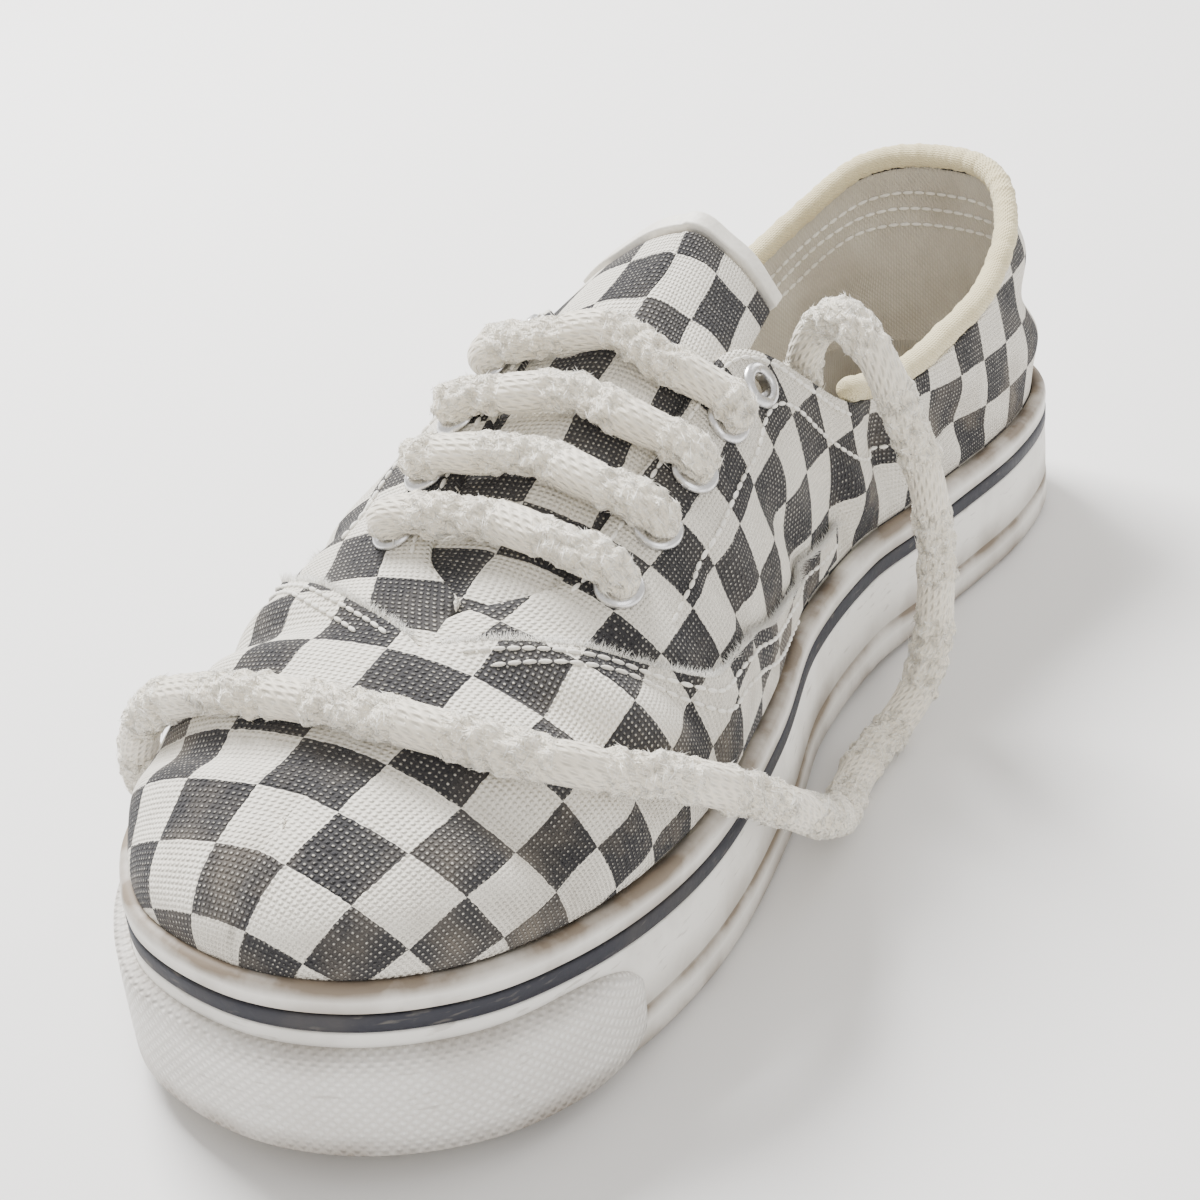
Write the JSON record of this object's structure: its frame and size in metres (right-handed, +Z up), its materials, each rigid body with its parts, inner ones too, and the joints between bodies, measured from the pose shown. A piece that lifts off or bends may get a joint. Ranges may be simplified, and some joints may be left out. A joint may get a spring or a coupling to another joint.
{
  "type": "worn low canvas sneaker",
  "caption": "Worn low-cut canvas sneaker for the right foot, with checked upper, rubber sole and toe guard, padded collar and a thick loose lace.",
  "frame": {"origin": "on the floor under the middle of the shoe, its loose lace left out", "axes": "+Z up, toe towards -Y, inner side towards +X"},
  "size_m": [0.1372, 0.2921, 0.1032],
  "materials": {
    "canvas": "worn checked canvas",
    "panel_canvas": "worn checked canvas",
    "white_rubber": "matt, scuffed",
    "guard_rubber": "matt, fine knurl",
    "dark_rubber": "satin",
    "sole_rubber": "matt, worn",
    "lining": "plain weave",
    "collar_cloth": "padded cloth",
    "bound_edge": "smooth, stitched",
    "eyelet_metal": "satin",
    "lace_cotton": "fluffy cord",
    "lace_tip": "smooth"
  },
  "bodies": {
    "root": {"outsole": "sole_rubber", "foxing": "white_rubber", "foxing_stripe": "dark_rubber", "toe_bumper": "guard_rubber", "insole": "lining", "upper": "canvas", "toe_overlay": "panel_canvas", "heel_strip": "panel_canvas", "collar_binding": "collar_cloth", "tongue": "canvas", "tongue_binding": "bound_edge", "lace_end": "lace_cotton", "lace_tip": "lace_tip", "eyelet_medial_1": "eyelet_metal", "eyelet_medial_2": "eyelet_metal", "eyelet_medial_3": "eyelet_metal", "eyelet_medial_4": "eyelet_metal", "eyelet_medial_5": "eyelet_metal", "eyelet_lateral_1": "eyelet_metal", "eyelet_lateral_2": "eyelet_metal", "eyelet_lateral_3": "eyelet_metal", "eyelet_lateral_4": "eyelet_metal", "eyelet_lateral_5": "eyelet_metal", "lace_bar_1": "lace_cotton", "lace_bar_2": "lace_cotton", "lace_bar_3": "lace_cotton", "lace_bar_4": "lace_cotton"}
  },
  "joints": []
}
